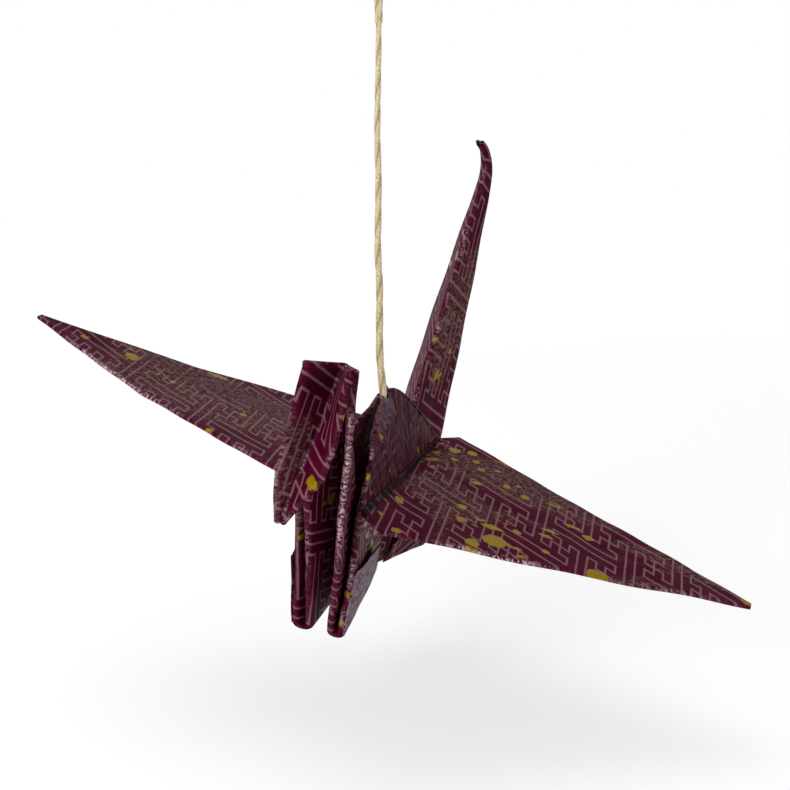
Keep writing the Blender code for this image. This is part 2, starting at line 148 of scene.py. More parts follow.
# One row across a pleat: raw edge, panel, half circle at the folded edge, panel, half circle at the
# spine, and the same again on the other half. All the row's points come back in that order.
def pleatRow(spine, edges, raws, turn, edgeRadius, spineRadius):
    middle = unit((edges[0] + edges[1]) / 2 - spine)
    halves = []
    for side, edge, raw in zip(sides, edges, raws):
        outward = unit(edge - spine)
        centre = edge - edgeRadius * outward
        cosines, sines = np.cos(edgeTurn)[:, None], np.sin(edgeTurn)[:, None]
        bend = centre + edgeRadius * (cosines * outward + sines * side * turn * left)
        halves.append((bend, raw))
    centre = spine + spineRadius * middle
    fold = centre + spineRadius * (np.sin(spineTurn)[:, None] * left - np.cos(spineTurn)[:, None] * middle)
    (bendL, rawL), (bendR, rawR) = halves
    return np.concatenate([
        rawL[None], line(rawL, bendL[-1]), bendL[::-1], line(bendL[0], fold[0]), fold,
        line(fold[-1], bendR[0]), bendR, line(bendR[-1], rawR), rawR[None]])


# Such a row's width, and its columns at the spine and at the middles of both folded edges
rowWidth = 2 * (1 + 2 * (panelSteps - 1) + len(edgeTurn)) + len(spineTurn)
spineColumn = rowWidth // 2
edgeMiddle = len(edgeTurn) // 2
edgeColumns = (panelSteps + edgeMiddle, rowWidth - 1 - panelSteps - edgeMiddle)


# rows between two rows where every layer turns back: the middle, plus the reach times the cosine, plus
# the sideways distance times the flatness times the sine
def turnedRows(before, after, beyond, steps=10):
    middle, reach = (before + after) / 2, (before - after) / 2
    radius = np.abs(reach @ left)[:, None] * crane["turnFlatness"]
    angles = np.pi * np.arange(1, steps)[:, None, None] / steps
    return list(middle + reach * np.cos(angles) + radius * beyond * np.sin(angles))


# a grid with straight lines between the stations, and so many steps from each to the next
def filled(rows, steps):
    parts = [rows[0][None]]
    for start, end, count in zip(rows, rows[1:], steps):
        shares = np.linspace(0, 1, count + 1)[1:, None, None]
        parts.append(start + (end - start) * shares)
    return np.concatenate(parts)


# raw edges halfway between the pleat's middle and its panels, at the raw edge's reach from edge to spine
def innerRaws(spine, edges, edgeRadius, spineRadius):
    raws = []
    for side, edge in zip(sides, edges):
        outer = mix(edge + side * edgeRadius * left, spine + side * spineRadius * left, crane["rawEdgeReach"])
        middle = mix((edges[0] + edges[1]) / 2, spine, crane["rawEdgeReach"])
        raws.append(mix(middle, outer, 0.5))
    return raws


# raw edges at the same reach, one and a half layers outside the panels
def outerRaws(spine, edges, edgeRadius, spineRadius):
    return [mix(edge - side * edgeRadius * left, spine + side * spineRadius * left, crane["rawEdgeReach"])
            + side * 1.5 * crane["layer"] * left for side, edge in zip(sides, edges)]


# Four rows of half the body: spine and folded edges go down in straight lines, from the ridges of the
# hump to the leg's fold, and the gusset between bulges by the valley's depth.
def bodyRows(ahead, footHeight, legHalfWidth):
    apex = point(0, ahead * crane["holeRadius"], apexHeight)
    topEdges = [hingeEnd(side, ahead) for side in sides]
    topRaws = [mix(hingeEnd(side, 0), hingeEnd(side, ahead), crane["rawEdgeGap"] / 2 / hingeHalfLength)
               for side in sides]
    foot = ahead * foldedEdgeAt(footHeight)
    footEdges = [point(side * (legHalfWidth + pitch(side)), foot, footHeight) for side in sides]
    keelRaws = [point(side * crane["keelHalfWidth"], ahead * crane["rawEdgeGap"] / 2, crane["flankKeelHeight"])
                for side in sides]
    bulge = point(0, ahead * crane["valleyDepth"], apex[2] - crane["valleyDrop"])
    keel = point(0, 0, crane["keelHeight"])
    spines = [apex, bulge, mix(bulge, keel, 0.5), keel]
    start = crane["valleyDrop"] / (apex[2] - crane["keelHeight"])
    rows = []
    for spine, share in zip(spines, (0.0, start, (1 + start) / 2, 1.0)):
        edges = [mix(top, low, share) for top, low in zip(topEdges, footEdges)]
        raws = [mix(top, low, share) for top, low in zip(topRaws, keelRaws)]
        valleyRadius = mix(crane["layer"], crane["packRadius"], min(share / start, 1.0))
        rows.append(pleatRow(spine, edges, raws, 1, crane["packRadius"], valleyRadius))
    return rows


# the unit vector at an elevation, forward or back
def legDirection(ahead, elevation):
    return point(0, ahead * math.cos(math.radians(elevation)), math.sin(math.radians(elevation)))


# the unit vector square to the edge line, downward
def downFrom(edgeLine):
    return unit(point(0, -abs(edgeLine[2]), -abs(edgeLine[1])))


neck = dict(
    length=0.0758, elevation=54.2, lean=4.2, halfWidth=0.0032, headSpine=0.0246, headEdge=0.0203,
    rightBrowDrop=0.0005, headTurn=5.6, headDrop=0.0008,
    rowSteps=[22, 22], headSteps=5, headShares=(0.0, 0.25, 0.5, 0.7, 0.85, 1.0),
    leftHeadWidths=(0.0028, 0.0031, 0.0034, 0.0032, 0.0017, 0.0004),
    rightHeadWidths=(0.0028, 0.0026, 0.0024, 0.0021, 0.0014, 0.0004),
)


# moves places to the left by the lean's tangent times their height above the keel
def leaning(*places):
    return [place + tan(neck["lean"]) * (place[2] - crane["keelHeight"]) * left for place in places]


# the start plus twice the offset's part along the line, less the offset
def mirrorInLine(place, start, end):
    along = unit(end - start)
    offset = place - start
    return start + 2 * along * np.dot(offset, along) - offset


# Flanks, neck and head: stations of straight rows with two turned folds between them.
def frontGrid():
    body = bodyRows(-1, crane["frontFootHeight"], crane["frontLegHalfWidth"])
    foot = point(0, -foldedEdgeAt(crane["frontFootHeight"]), crane["frontFootHeight"])
    keel = point(0, -crane["packRadius"], crane["keelHeight"])
    direction = legDirection(-1, neck["elevation"])
    tip = keel + neck["length"] * direction
    headBack = tip - neck["headSpine"] * direction
    headFront = tip - neck["headEdge"] * unit(tip - foot)
    rows = []
    for share in (0.0, 0.5, 1.0):
        spine, edge = leaning(mix(keel, headBack, share), mix(foot, headFront, share))
        half = mix(crane["frontLegHalfWidth"], neck["halfWidth"], share)
        edges = [edge + side * half * left for side in sides]
        edges[1] = edges[1] - share * neck["rightBrowDrop"] * direction
        radius = crane["packRadius"]
        rows.append(pleatRow(spine, edges, innerRaws(spine, edges, radius, radius), -1, radius, radius))
    headTip = mirrorInLine(tip, headBack, headFront)
    crown, brow, beak = leaning(headBack, headFront, headTip)
    beak = beak + tan(neck["headTurn"]) * neck["headSpine"] * left - point(0, 0, neck["headDrop"])
    inset = unit(beak - crown) * 3 * crane["layer"]
    head = []
    widths = zip(neck["headShares"], neck["leftHeadWidths"], neck["rightHeadWidths"])
    for share, leftWidth, rightWidth in widths:
        spine = mix(crown + inset, beak - inset, share)
        middle = mix(brow + inset, beak, share)
        edges = [middle + leftWidth * left, middle - rightWidth * left]
        radius = mix(crane["packRadius"], crane["tipRadius"], share)
        head.append(pleatRow(spine, edges, outerRaws(spine, edges, radius, radius), 1, radius, radius))
    beyond = unit(np.cross(headFront - headBack, left))
    beyond = beyond * np.sign(np.dot(beyond, direction))
    keelTurn = turnedRows(body[-1], rows[0], downFrom(foot - keel))
    headTurn = turnedRows(rows[-1], head[0], beyond)
    stations = body + keelTurn + rows + headTurn + head
    steps = bodySteps + [1] * (len(keelTurn) + 1) + neck["rowSteps"]
    steps += [1] * (len(headTurn) + 1) + [neck["headSteps"]] * (len(head) - 1)
    return filled(stations, steps)


tail = dict(
    length=0.0735, elevation=51.0, bow=5.0, curl=75.0, curlLength=0.0050, sideCurl=0.0016, courseSteps=961,
    tipHalfWidth=0.0004, tipDepth=0.0011, fullness=0.0011, spineFullness=0.0003, rightFullness=0.0012,
)
tailShares = np.concatenate([np.linspace(0.0, 0.92, 40), np.linspace(0.93, 1.0, 15)])  # closer at the tip


# lays a straight leg's point on a line whose slope grows by the bow, and by the curl near the tip
def curvedLeg(base):
    steps = np.linspace(0.0, 1.0, tail["courseSteps"])
    curlStart = tail["length"] - tail["curlLength"]
    ease = np.clip((steps * tail["length"] - curlStart) / tail["curlLength"], 0.0, 1.0)
    angles = np.radians(tail["elevation"] + tail["bow"] * (2 * steps - 1) + tail["curl"] * ease)
    along = np.stack([0 * steps, np.cos(angles), np.sin(angles)], axis=1)
    outward = np.stack([0 * steps, np.sin(angles), -np.cos(angles)], axis=1)
    course = base + np.cumsum(along, axis=0) * tail["length"] / len(steps)
    straight = legDirection(1, tail["elevation"])
    straightOut = point(0, straight[2], -straight[1])

    # the course's place at the point's share of the length, plus its depth outward
    def lay(place):
        share = np.dot(place - base, straight) / tail["length"]
        depth = np.dot(place - base, straightOut)
        index = int(round(min(max(share, 0.0), 1.0) * (len(steps) - 1)))
        start = course[index] + (share - steps[index]) * tail["length"] * along[index]
        return start + depth * outward[index] + (place[0] - tail["sideCurl"] * ease[index] ** 2) * left

    return lay


# Flanks and tail: as the front, with one turned fold, and the tail's rows laid on its curled line.
def backGrid():
    body = bodyRows(1, crane["rearFootHeight"], crane["rearLegHalfWidth"])
    foot = point(0, foldedEdgeAt(crane["rearFootHeight"]), crane["rearFootHeight"])
    keel = point(0, crane["packRadius"], crane["keelHeight"])
    direction = legDirection(1, tail["elevation"])
    outward = point(0, direction[2], -direction[1])
    tip = keel + tail["length"] * direction
    lay = curvedLeg(keel)
    rows = []
    for share in tailShares:
        swell = math.sin(math.pi * share)
        half = mix(crane["rearLegHalfWidth"], tail["tipHalfWidth"], share)
        radius = mix(crane["packRadius"], crane["tipRadius"], share)
        spine = lay(mix(keel, tip, share) - outward * tail["spineFullness"] * swell)
        edge = mix(foot, tip + outward * tail["tipDepth"], share)
        edge = lay(edge + outward * tail["fullness"] * swell)
        edges = [edge + side * half * left for side in sides]
        edges[1] = edges[1] - tail["rightFullness"] * swell * left
        rows.append(pleatRow(spine, edges, innerRaws(spine, edges, radius, radius), -1, radius, radius))
    keelTurn = turnedRows(body[-1], rows[0], downFrom(foot - keel) * point(1, -1, 1))
    stations = body + keelTurn + rows
    return filled(stations, bodySteps + [1] * (len(keelTurn) + len(rows)))


hump = dict(
    ridgeRise=0.0019, ridgePeak=0.30, ridgeLean=0.25, ridgeFade=0.3, rearPower=2.5,  # the rear ridges' bulge
    puffRows=24, puffFade=5.0, start=0.05, rows=24, columns=25, crown=0.00035,
    ridgeStart=0.06, ridgeLayers=0.9, ridgeWearAndHighlight=0.9, ridgeOnSheet=0.01,  # the rolls along the ridges, with wear and a painted highlight
)


# how far a ridge of the hump is puffed up: share over peak times e to the 1 minus that, times the rise
def ridgeBulge(shares, ahead):
    rise = hump["ridgeRise"] if ahead > 0 else 0.0
    ratio = shares / hump["ridgePeak"]
    return rise * ratio * np.exp(1 - ratio) * np.clip((1 - shares) / hump["ridgeFade"], 0, 1)


# the direction of a ridge's bulge: up, and a share of it outward
def ridgeWay(ahead):
    return point(0, ahead * hump["ridgeLean"], 1.0)


# lifts the gusset's rows near the ridges, fading out down the body
def puffGussets(grid, ahead):
    halves = ((1, slice(edgeColumns[0], spineColumn + 1)), (-1, slice(spineColumn, edgeColumns[1])))
    fade = np.exp(-np.arange(hump["puffRows"]) / hump["puffFade"])[:, None, None]
    for side, columns in halves:
        span = np.linalg.norm(hingeEnd(side, ahead) - apexPoint)
        shares = np.clip(np.linalg.norm(grid[0, columns] - apexPoint, axis=1) / span, 0, 1)
        grid[:hump["puffRows"], columns] += fade * ridgeBulge(shares, ahead)[None, :, None] * ridgeWay(ahead)
    return grid


# a side of the hump: rays from its point to the wing's fold line, crowned a little
def humpGrid(side):
    front, back = hingeEnd(side, -1), hingeEnd(side, 1)
    shares = np.linspace(hump["start"], 1.0, hump["rows"])[:, None, None]
    across = np.linspace(0, 1, hump["columns"])[None, :, None]
    foldLine = front + (back - front) * across
    grid = apexPoint + (foldLine - apexPoint) * shares
    crown = np.sin(np.pi * across) * np.sin(np.pi * shares) * hump["crown"]
    rear = ridgeBulge(shares, 1) * np.clip(across, 0, 1) ** hump["rearPower"]
    return grid + crown * side * left + rear * ridgeWay(1)


# A wing: raw edge, panel underneath, half circle at the edge, the smooth top with its faint centre
# crease, and the same on the other side, at four stations from the fold line to the tip.
def wingGrid(side):
    angle = math.radians(wing["angles"][side])
    middle = point(side * crane["hingeHalfWidth"], 0, crane["hingeHeight"])
    out = point(side * math.cos(angle), 0, math.sin(angle))
    above = point(-out[2] * side, 0, out[0] * side)
    narrowing = (shoulderHalfChord - wing["tipHalfWidth"]) / (wing["length"] - shoulderReach)
    stations = ((0.0, hingeHalfLength), (shoulderReach, shoulderHalfChord),
                (wing["middle"], wing["tipHalfWidth"] + narrowing * (wing["length"] - wing["middle"])),
                (wing["length"], wing["tipHalfWidth"]))
    radius = wing["edgeRadius"]
    rows = []
    under, upper = wing["underSteps"], wing["topSteps"]
    lifts = zip(stations, wing["frontLifts"][side], wing["backLifts"][side])
    for (reach, halfChord), frontLift, backLift in lifts:
        place = middle + reach * out
        ends = [place - point(0, halfChord, 0) + frontLift * above,
                place + point(0, halfChord, 0) + backLift * above]
        centre = (ends[0] + ends[1]) / 2
        gap = min(crane["rawEdgeGap"], halfChord / 2) / 2
        raws, bends = [], []
        for end in ends:
            outward = unit(end - centre)
            start = end - outward * radius
            bends.append(start + radius * (np.cos(edgeTurn)[:, None] * outward
                                           + np.sin(edgeTurn)[:, None] * above))
            raws.append(centre - above * radius + outward * gap)
        top = centre + above * radius
        rows.append(np.concatenate([
            raws[0][None], line(raws[0], bends[0][0], under), bends[0],
            line(bends[0][-1], top, upper), top[None], line(top, bends[1][-1], upper),
            bends[1][::-1], line(bends[1][0], raws[1], under), raws[1][None]]))
    grid = filled(rows, wing["rowSteps"])
    middleColumn = grid.shape[1] // 2
    chord = np.linalg.norm(grid - grid[:, middleColumn:middleColumn + 1], axis=2)
    onTop = np.abs(np.arange(grid.shape[1]) - middleColumn) <= upper
    grooveShade = wing["creaseDepth"] * np.exp(-(chord / wing["creaseWidth"]) ** 2) * onTop
    return grid - grooveShade[..., None] * above


flap = dict(topHeight=0.0116, reach=0.0105, footReach=0.92, standOffs={1: 0.0003, -1: 0.0008}, bendAt=0.3,
            rowSteps=[8, 12], columns=21, topOnSheet=0.030, aheadOnSheet=0.06)


# the flap that the narrowing fold lays over a flank, standing a little off it
def flapGrid(side, ahead, footHeight, legHalfWidth):
    top = hingeEnd(side, ahead)
    foot = point(side * (legHalfWidth + pitch(side)), ahead * foldedEdgeAt(footHeight), footHeight)
    keel = point(side * crane["keelHalfWidth"], 0, crane["flankKeelHeight"])
    high = mix(top, foot, (top[2] - flap["topHeight"]) / (top[2] - footHeight))
    standOff = side * flap["standOffs"][side] * left
    surface = side * crane["packRadius"] * left
    near = np.array([high + surface + standOff / 2, foot + surface])
    far = np.array([high - point(0, ahead * flap["reach"], 0), mix(foot, keel, flap["footReach"])])
    far = far + surface + standOff
    bend = near + (far - near) * flap["bendAt"] + standOff / 2
    rows = filled([near, bend, far], flap["rowSteps"])
    shares = np.linspace(0, 1, flap["columns"])[None, :, None]
    return rows[:, :1] + (rows[:, 1:] - rows[:, :1]) * shares


# a thin closed roll of paper along a fold: a circle carried from start to end
def barGrid(start, end, radius, turns=13, steps=24):
    along = unit(end - start)
    across = unit(np.cross(along, point(0, 0, 1)))
    above = np.cross(across, along)
    angles = np.linspace(0, 2 * np.pi, turns)[None, :, None]
    course = start + (end - start) * np.linspace(0, 1, steps)[:, None, None]
    return course + radius * (np.cos(angles) * across + np.sin(angles) * above)


# A slow waviness of the paper: sums of sines of the place, the same for all layers that lie together.
def lively(places):
    x, y, z = places[..., 0] * 1000, places[..., 1] * 1000, places[..., 2] * 1000
    sideways = 0.00007 * np.sin(0.42 * z + 0.23 * y + 0.8) + 0.00004 * np.sin(0.9 * y - 0.55 * z + 2.1)
    upward = 0.00008 * np.sin(0.31 * x + 0.21 * y + 0.4) + 0.00005 * np.sin(0.62 * x - 0.47 * y + 1.7)
    weight = np.clip((np.abs(x) - 5) / 6, 0, 1)
    return places + np.stack([sideways * (1 - weight), 0 * x, upward * weight], axis=-1)


# Pushes the paper out round the cord: the distance from the cord's line becomes the hole's radius plus
# the rest in proportion, within the reach.
def openHole(places):
    flat = places[..., :2]
    radius = np.linalg.norm(flat, axis=-1, keepdims=True)
    hole, reach = crane["holeRadius"], crane["holeReach"]
    pushed = hole + radius * (1 - hole / reach)
    near = (radius < reach) & (places[..., 2:] > apexHeight - crane["holeDepth"])
    moved = flat * np.where(near, pushed / np.maximum(radius, 1e-6), 1.0)
    return np.concatenate([moved, places[..., 2:]], axis=-1)


# the length along the grid's lines up to each point: the sum of the steps before it
def stepLengths(grid, axis):
    lengths = np.linalg.norm(np.diff(grid, axis=axis), axis=2)
    start = np.zeros_like(np.take(lengths, [0], axis=axis))
    return np.cumsum(np.concatenate([start, lengths], axis=axis), axis=axis)


# collects grids and writes them as one mesh, with the sheet's own coordinates and the folds' wear and painted
# highlight
class Strips:
    def __init__(self):
        self.places, self.faces, self.sheet, self.wear, self.count = [], [], [], [], 0

    # outward is the direction that the printed side faces at the grid's row and column at
    def add(self, grid, sheet, wear, outward, at):
        rows, columns = grid.shape[:2]
        row, column = at
        across = grid[row, column + 1] - grid[row, column - 1]
        along = grid[row + 1, column] - grid[row - 1, column]
        first = np.arange(rows * columns).reshape(rows, columns)
        a, b = first[:-1, :-1].ravel(), first[:-1, 1:].ravel()
        c, d = first[1:, 1:].ravel(), first[1:, :-1].ravel()
        quads = np.stack([a, b, c, d], axis=1)
        if np.dot(np.cross(across, along), outward) < 0:
            quads = quads[:, ::-1]
        self.places.append(hangUp(lively(openHole(grid))).reshape(-1, 3))
        self.sheet.append(sheet.reshape(-1, 2))
        self.wear.append(np.broadcast_to(wear, (rows, columns)).reshape(-1))
        self.faces.append(quads + self.count)
        self.count += rows * columns

    # joins the grids, and writes each point's place on the sheet and its wear and painted highlight
    def mesh(self, name):
        places, faces = np.concatenate(self.places), np.concatenate(self.faces)
        mesh = bpy.data.meshes.new(name)
        mesh.from_pydata(places.tolist(), [], faces.tolist())
        mesh.update()
        corners = np.empty(len(mesh.loops), dtype=np.int32)
        mesh.loops.foreach_get("vertex_index", corners)
        uv = mesh.uv_layers.new(name="sheet")
        uv.data.foreach_set("uv", np.concatenate(self.sheet)[corners].astype(np.float32).ravel())
        wear = mesh.attributes.new("wear", "FLOAT", "POINT")
        wear.data.foreach_set("value", np.concatenate(self.wear).astype(np.float32))
        mesh.polygons.foreach_set("use_smooth", np.ones(len(mesh.polygons), dtype=bool))
        return mesh


# places on the flat sheet, in shares of its side, with its middle at a half
def sheetShare(x, y):
    return np.stack([x, y], axis=-1) / crane["sheetSide"] + 0.5


# wear with its painted highlight is e to the minus square of the distance from a folded edge over the width
def wearFrom(grid, columns, width=0.00030):
    across = stepLengths(grid, 1)
    distances = [np.abs(across - across[:, column:column + 1]) for column in columns]
    return np.exp(-(np.min(distances, axis=0) / width) ** 2)


print("folding the paper")
strips = Strips()
for ahead, grid in ((-1, frontGrid()), (1, backGrid())):
    grid = puffGussets(grid, ahead)
    across = stepLengths(grid, 1)
    across = across[:, spineColumn:spineColumn + 1] - across
    along = stepLengths(grid, 0)[:, spineColumn:spineColumn + 1] + 0 * across
    wornAndHighlit = wearFrom(grid, edgeColumns + (spineColumn,))
    middleRow = 12
    outward = grid[middleRow, edgeColumns[0]] - grid[middleRow, spineColumn]
    strips.add(grid, sheetShare(across, ahead * along), wornAndHighlit, outward, (middleRow, edgeColumns[0]))
for side in sides:
    grid = wingGrid(side)
    middleColumn = grid.shape[1] // 2
    across = stepLengths(grid, 1)
    across = across - across[:, middleColumn:middleColumn + 1]
    along = stepLengths(grid, 0)[:, middleColumn:middleColumn + 1] + crane["hingeOnSheet"] + 0 * across
    edgeColumn = wing["underSteps"] + edgeMiddle
    # the wings' folded edges and centre crease: wear with a painted highlight
    wornAndHighlit = np.maximum(wearFrom(grid, (edgeColumn, grid.shape[1] - 1 - edgeColumn)),
                      0.5 * wearFrom(grid, (middleColumn,)))
    strips.add(grid, sheetShare(side * along, across), wornAndHighlit, point(0, 0, 1), (20, middleColumn))
    grid = humpGrid(side)
    reach = stepLengths(grid, 0)[:, 12:13] + 0 * grid[..., 1]
    wornAndHighlit = wearFrom(grid, (0, grid.shape[1] - 1))
    strips.add(grid, sheetShare(side * reach, grid[..., 1]), wornAndHighlit, side * left, (12, 12))
    hinge = barGrid(hingeEnd(side, -1), hingeEnd(side, 1), crane["packRadius"])
    around = crane["hingeOnSheet"] + stepLengths(hinge, 1)
    column = 3 if hinge[10, 3, 2] > hinge[10, 9, 2] else 9
    sheet = sheetShare(side * around, hinge[..., 1])
    strips.add(hinge, sheet, crane["hingeWearAndHighlight"], point(0, 0, 1), (10, column))
    for ahead, height, width in ((-1, crane["frontFootHeight"], crane["frontLegHalfWidth"]),
                                 (1, crane["rearFootHeight"], crane["rearLegHalfWidth"])):
        grid = flapGrid(side, ahead, height, width)
        sheet = sheetShare(side * (flap["topOnSheet"] - grid[..., 2]),
                           flap["aheadOnSheet"] * ahead + grid[..., 1])
        strips.add(grid, sheet, wearFrom(grid, (0,)), side * left, (6, 10))
        end = hingeEnd(side, ahead)
        ridge = barGrid(mix(apexPoint, end, hump["ridgeStart"]), end, crane["layer"] * hump["ridgeLayers"])
        shares = np.linspace(hump["ridgeStart"], 1, ridge.shape[0])[:, None]
        ridge = ridge + ridgeBulge(shares, ahead)[..., None] * ridgeWay(ahead)
        sheet = sheetShare(side * stepLengths(ridge, 0), stepLengths(ridge, 1) + ahead * hump["ridgeOnSheet"])
        strips.add(ridge, sheet, hump["ridgeWearAndHighlight"], ridge[10, 3] - ridge[10, 9], (10, 3))
paperMesh = strips.mesh("folded_crane")


# a new object with its data, put into the scene
def placed(name, data):
    thing = bpy.data.objects.new(name, data)
    bpy.context.scene.collection.objects.link(thing)
    return thing


# the sheet with its wall, made a plain mesh with sharp edges only where it is cut
def finished(mesh, name, thickness):
    thing = placed(name, mesh)
    wall = thing.modifiers.new("wall", "SOLIDIFY")
    wall.thickness = thickness
    wall.offset = 0.0
    wall.use_quality_normals = True
    wall.material_offset = 1
    wall.material_offset_rim = 1
    bpy.context.view_layer.update()
    solid = bpy.data.meshes.new_from_object(thing.evaluated_get(bpy.context.evaluated_depsgraph_get()))
    thing.modifiers.clear()
    thing.data = solid
    solid.name = name
    solid.set_sharp_from_angle(angle=math.radians(50))
    return thing


# a material with its node tree and its shader
def newMaterial(name):
    material = bpy.data.materials.new(name)
    material.use_nodes = True
    tree = material.node_tree
    return material, tree, tree.nodes["Principled BSDF"]


# each input of the node gets its value, or a link where the value is another node's output
def feed(tree, node, inputs):
    for key, value in inputs.items():
        if hasattr(value, "is_output"):
            tree.links.new(value, node.inputs[key])
        else:
            node.inputs[key].default_value = value


# a new node with its settings and inputs; gives back its outputs
def add(tree, kind, inputs, **settings):
    node = tree.nodes.new("ShaderNode" + kind)
    for name, value in settings.items():
        setattr(node, name, value)
    feed(tree, node, inputs)
    return node.outputs


# one operation on values
def calc(tree, operation, *values, clamp=False):
    return add(tree, "Math", dict(enumerate(values)), operation=operation, use_clamp=clamp)[0]


# the product of two values
def times(tree, first, second):
    return calc(tree, "MULTIPLY", first, second)


# the larger of two values
def larger(tree, first, second):
    return calc(tree, "MAXIMUM", first, second)


# a smooth step from start to end, as the value goes from low to high
def ramp(tree, value, low, high, start=0.0, end=1.0):
    limits = dict(enumerate((value, low, high, start, end)))
    return add(tree, "MapRange", limits, interpolation_type="SMOOTHSTEP")[0]


# the first colour plus the share of the way to the second
def blendColour(tree, share, first, second):
    return add(tree, "Mix", {"Factor": share, 6: first, 7: second}, data_type="RGBA")[2]


# smooth random values: waves of the given scale, each finer one weaker by the roughness
def noise(tree, vector, scale, detail=2.0, roughness=0.5):
    inputs = {"Vector": vector, "Scale": scale, "Detail": detail, "Roughness": roughness}
    return add(tree, "TexNoise", inputs)["Fac"]


# Round spots of random size: 1 where a cell's middle is nearer than its radius. The radius is a smooth
# step, up to the largest, of one channel of the cell's random colour from the rarest value to 1.
def scattered(tree, place, scale, channel, rarest, largest, blur):
    cell = add(tree, "TexVoronoi", {"Vector": place, "Scale": scale})
    chance = add(tree, "SeparateColor", {0: cell["Color"]})[channel]
    radius = ramp(tree, chance, rarest, 1.0, 0.0, largest)
    return ramp(tree, calc(tree, "SUBTRACT", cell["Distance"], radius), blur, -blur)


# the surface's direction, tilted by the height's slope
def bumped(tree, height, strength, distance):
    return add(tree, "Bump", {"Strength": strength, "Distance": distance, "Height": height})["Normal"]


# a colour given as it looks on a screen, from 0 to 255, made linear
def rgb(red, green, blue):
    shares = np.array([red, green, blue]) / 255.0
    linear = np.where(shares <= 0.04045, shares / 12.92, ((shares + 0.055) / 1.055) ** 2.4)
    return (*[float(value) for value in linear], 1.0)


fret = dict(
    middle=(30.41, -1.42), across=(1.415, -0.621), along=(-0.242, 2.123),  # one step each way
    cell=5.0, lineHalfWidth=0.105, softness=0.05,
    bars=((0, 0.0, 1.0), (1, -0.5, 0.5), (1, 1.5, 0.5), (2, 1.0, 2.0)),  # its line, middle and half length
)
washi = dict(
    ground=rgb(72, 5, 32), groundDark=rgb(54, 4, 23), line=rgb(117, 80, 89), beige=rgb(106, 84, 74),
    # the pale rub colour is worn paper and partly a painted highlight on the rounded folds
    gold=rgb(130, 104, 2), rubAndHighlight=rgb(206, 178, 188), core=rgb(176, 160, 158), shade=rgb(40, 4, 14),
    # the darkest colour below is painted shade for the deep valley along each wing's fold line
    lavender=rgb(126, 112, 132), paintedFoldShade=rgb(16, 2, 6),
    spotEdge=(1.65, 1.30),  # where a spot's ragged edge begins and ends
    # gold blots: places on the sheet in millimetres, and radii
    blots=((29.3, -10.5, 1.75), (22.7, -3.9, 0.75), (23.7, -8.0, 0.75), (31.2, -5.2, 0.65), (36.1, -7.9, 0.65),
           (40.5, 1.7, 0.75), (43.7, -8.9, 1.5), (64.0, 0.5, 1.1), (15.0, -9.8, 0.7), (26.8, -13.6, 1.1),
           (16.6, 14.3, 0.9), (19.1, 15.4, 0.8), (4.4, 61.6, 0.8), (-1.2, 83.1, 0.85), (17.4, -18.6, 0.7),
           (16.7, -25.4, 0.7), (4.4, -5.6, 0.5), (2.6, -97.9, 0.9), (-56.8, 0.4, 0.6), (-29.0, -14.9, 0.6),
           (14.5, 12.0, 0.6), (17.5, 11.0, 0.5), (21.8, 10.8, 0.6), (24.0, 12.5, 0.5), (26.5, 8.1, 0.6),
           (29.7, 6.9, 0.6), (15.5, 5.5, 0.5), (13.8, 16.5, 0.6), (20.5, 13.0, 0.5), (28.0, 10.0, 0.4)),
    # rubbed patches: middles, half widths each way
    patches=((30.0, 10.0, 17.0, 5.5), (56.0, 3.5, 12.0, 2.8), (19.0, -2.0, 5.5, 6.0), (-34.0, 6.0, 22.0, 4.5),
             (4.5, 72.0, 4.5, 13.0), (-3.0, -98.0, 2.5, 9.0), (-32.0, -2.0, 20.0, 9.0)),
    # lavender clouds, fine ripples, painted shade along the wing folds, and rubbed edges with a painted
    # highlight: the same
    clouds=((24.0, -72.0, 8.0, 9.0), (1.0, -4.0, 3.5, 5.0)),
    ripples=((7.0, -1.0, 7.5, 15.0), (-7.0, 0.0, 7.5, 15.0), (24.0, 12.0, 13.0, 4.0), (-30.0, 5.0, 18.0, 4.0)),
    paintedFoldShades=((12.6, 0.0, 1.0, 26.0), (-12.6, 0.0, 1.0, 26.0)),
    rubsAndHighlights=((10.2, -59.0, 4.0, 17.0), (24.0, -13.5, 14.0, 3.5), (-50.0, -9.0, 18.0, 5.0)),
)


# Distance from the lines of a key fret. Each square cell holds one hooked cross, and its neighbours hold
# the mirrored one, so both coordinates are folded back at the cell's borders. Half a turn leaves the
# cross as it is, so one side's upright bars do for both, and a quarter turn gives the level ones.
def fretDistance(tree, x, y):
    half = fret["cell"] / 2
    x, y = (calc(tree, "SUBTRACT", calc(tree, "PINGPONG", calc(tree, "ADD", value, half), fret["cell"]), half)
            for value in (x, y))
    nearest = None
    for across, along in ((x, y), (y, times(tree, x, -1.0))):
        out = calc(tree, "ABSOLUTE", across)
        up = times(tree, along, calc(tree, "SIGN", across))
        for barLine, middle, reach in fret["bars"]:
            beside = calc(tree, "ABSOLUTE", calc(tree, "SUBTRACT", out, float(barLine)))
            beyond = calc(tree, "SUBTRACT", calc(tree, "ABSOLUTE", calc(tree, "SUBTRACT", up, middle)), reach)
            distance = larger(tree, beside, beyond)
            nearest = distance if nearest is None else calc(tree, "MINIMUM", nearest, distance)
    return nearest


# 1 within any of the ellipses and 0 outside, with a ragged edge
def spots(tree, place, ragged, ellipses):
    inAny = 0.0
    for middleX, middleY, halfX, halfY in ellipses:
        location, scale = (-middleX / halfX, -middleY / halfY, 0.0), (1 / halfX, 1 / halfY, 1.0)
        scaled = add(tree, "Mapping", {"Location": location, "Scale": scale, "Vector": place})["Vector"]
        away = add(tree, "VectorMath", {0: scaled}, operation="LENGTH")["Value"]
        inAny = larger(tree, inAny, ramp(tree, calc(tree, "ADD", away, ragged), *washi["spotEdge"]))
    return inAny


